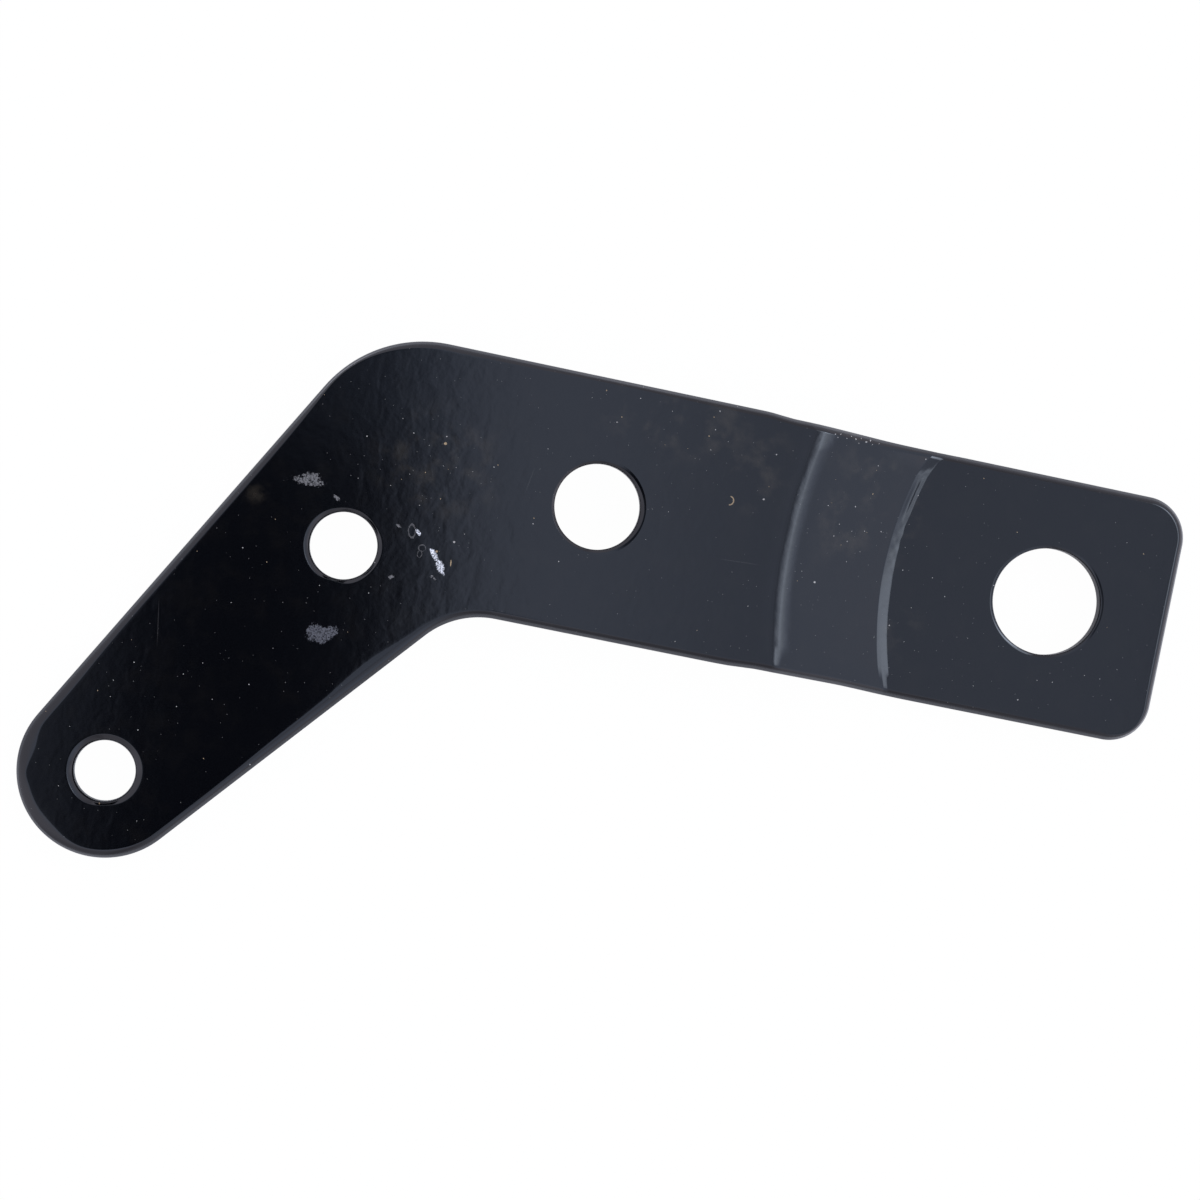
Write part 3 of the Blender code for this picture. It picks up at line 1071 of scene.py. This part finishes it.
def studio_world(look):
    """A white tent with a dark opening left of overhead and a soft box to the right."""
    world = bpy.data.worlds.new("tent")
    bpy.context.scene.world = world
    world.use_nodes = True
    nodes = Nodes(world.node_tree)
    parts = nodes.add("ShaderNodeSeparateXYZ")
    nodes.put(parts, 0, nodes.add("ShaderNodeTexCoord").outputs["Generated"])
    x, y, z = [parts.outputs[name] for name in ("X", "Y", "Z")]
    up = nodes.math("MAXIMUM", z, 0.02)
    across = nodes.math("DIVIDE", x, up)
    along = nodes.math("DIVIDE", y, up)
    slanted = nodes.math("MULTIPLY_ADD", along, 0.20, across)

    dark = dark_opening(nodes, across, slanted, along)
    glow = soft_box(nodes, across, along, look.box)
    tent = tent_light(nodes, x, y, across, glow)
    tent = nodes.product(tent, look.tent, nodes.math("SUBTRACT", 1.0, dark))
    # A faint blue light falls into the opening from its far right corner, and a dim one
    # from its left side.
    corner = nodes.product(nodes.ramp(slanted, -0.24, -0.11), nodes.ramp(along, 0.02, 0.08))
    faint = nodes.product(corner, dark, 0.19)
    dim = nodes.product(nodes.ramp(across, -0.25, -0.198, 0.285, 0.0), dark)
    strength = nodes.total(tent, nodes.product(dark, look.gap), faint, dim)

    # Overhead and to the right the tent is bluish, low down it is neutral.
    rightwards = nodes.product(nodes.ramp(x, 0.2, 0.5), nodes.ramp(z, 0.40, 0.56))
    overhead = nodes.math("MAXIMUM", nodes.ramp(z, 0.74, 0.93), rightwards)
    tint = nodes.mix(overhead, (*look.low, 1.0), (*look.panel, 1.0))
    tint = nodes.mix(nodes.product(faint, 3.0), tint, (*look.faint, 1.0))
    tint = nodes.mix(nodes.ramp(glow, 0.3, 2.0), tint, (*look.box_tint, 1.0))
    scaled = nodes.add("ShaderNodeVectorMath", {"operation": "SCALE"})
    nodes.put(scaled, 0, tint)
    nodes.put(scaled, "Scale", strength)
    background = nodes.add("ShaderNodeBackground", Color=scaled.outputs[0], Strength=1.0)
    out = nodes.add("ShaderNodeOutputWorld")
    nodes.put(out, "Surface", background.outputs[0])


def studio_floor(look):
    """A wide pale floor that keeps the bracket's soft shadow."""
    mesh = bpy.data.meshes.new("floor")
    sides = ((-1, -1), (1, -1), (1, 1), (-1, 1))
    mesh.from_pydata([(x * FLOOR_HALF, y * FLOOR_HALF, 0) for x, y in sides], [], [(0, 1, 2, 3)])
    floor = bpy.data.objects.new("floor", mesh)
    bpy.context.scene.collection.objects.link(floor)
    material = bpy.data.materials.new("floor_white")
    material.use_nodes = True
    nodes = Nodes(material.node_tree)
    matt = nodes.add("ShaderNodeBsdfDiffuse", Color=(*look.floor, 1.0))
    plain = nodes.add("ShaderNodeEmission", Color=(1.0, 1.0, 1.0, 1.0), Strength=1.0)
    rays = nodes.add("ShaderNodeLightPath")
    blend = nodes.add("ShaderNodeMixShader")
    lift = nodes.product(rays.outputs["Is Glossy Ray"], look.gloss_lift)
    lift = nodes.math("MULTIPLY_ADD", rays.outputs["Is Camera Ray"], look.floor_lift, lift)
    nodes.put(blend, 0, lift)
    nodes.put(blend, 1, matt.outputs[0])
    nodes.put(blend, 2, plain.outputs[0])
    out = nodes.add("ShaderNodeOutputMaterial")
    nodes.put(out, "Surface", blend.outputs[0])
    mesh.materials.append(material)


def studio_camera():
    """The camera of the photograph, close above the bracket."""
    camera = bpy.data.cameras.new("camera")
    camera.sensor_width = SENSOR_WIDTH
    camera.lens = SENSOR_WIDTH * FOCAL_PIXELS / PICTURE_PIXELS
    camera.clip_start = 0.01
    x, y, above_plate = CAMERA_PLACE
    place = Matrix.Translation((x, y, above_plate + PLATE_THICKNESS))
    turn = Matrix(CAMERA_DIRECTIONS).transposed()
    holder = bpy.data.objects.new("camera", camera)
    bpy.context.scene.collection.objects.link(holder)
    holder.matrix_world = rest_pose() @ place @ turn.to_4x4()
    bpy.context.scene.camera = holder


# Operators and panel


class BRACKET_OT_plate(bpy.types.Operator):
    """Builds the bracket's plate and paints it"""

    bl_idname = "bracket.plate"
    bl_label = "Build plate"

    def execute(self, context):
        mesh = plate_mesh(context.scene.bracket_sizes)
        mesh.materials.append(gloss_black_paint(context.scene.bracket_paint))
        plate = bpy.data.objects.new("painted_plate", mesh)
        context.scene.collection.objects.link(plate)
        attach(plate, "root")
        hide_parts(PLATE_NODE)
        return {"FINISHED"}


class BRACKET_OT_studio(bpy.types.Operator):
    """Sets the floor, the light and the camera"""

    bl_idname = "bracket.studio"
    bl_label = "Set studio"

    def execute(self, context):
        look = context.scene.bracket_studio
        studio_world(look)
        studio_floor(look)
        studio_camera()
        context.scene.view_settings.view_transform = "Standard"
        return {"FINISHED"}


class BRACKET_PT_panel(bpy.types.Panel):
    """Lists the sizes, the looks and both steps"""

    bl_label = "Idler bracket"
    bl_space_type = "VIEW_3D"
    bl_region_type = "UI"
    bl_category = "Bracket"

    def draw(self, context):
        layout = self.layout
        for name in ("bracket_sizes", "bracket_paint", "bracket_studio"):
            group = getattr(context.scene, name)
            box = layout.box()
            for key in group.__annotations__:
                box.prop(group, key)
        layout.operator(BRACKET_OT_plate.bl_idname)
        layout.operator(BRACKET_OT_studio.bl_idname)


CLASSES = (
    BracketSizes,
    PaintLook,
    StudioLook,
    BRACKET_OT_plate,
    BRACKET_OT_studio,
    BRACKET_PT_panel,
)


def register():
    for cls in CLASSES:
        bpy.utils.register_class(cls)
    bpy.types.Scene.bracket_sizes = bpy.props.PointerProperty(type=BracketSizes)
    bpy.types.Scene.bracket_paint = bpy.props.PointerProperty(type=PaintLook)
    bpy.types.Scene.bracket_studio = bpy.props.PointerProperty(type=StudioLook)


def unregister():
    del bpy.types.Scene.bracket_studio
    del bpy.types.Scene.bracket_paint
    del bpy.types.Scene.bracket_sizes
    for cls in reversed(CLASSES):
        bpy.utils.unregister_class(cls)


def main():
    register()
    bpy.ops.bracket.plate()
    bpy.ops.bracket.studio()


if __name__ == "__main__":
    main()
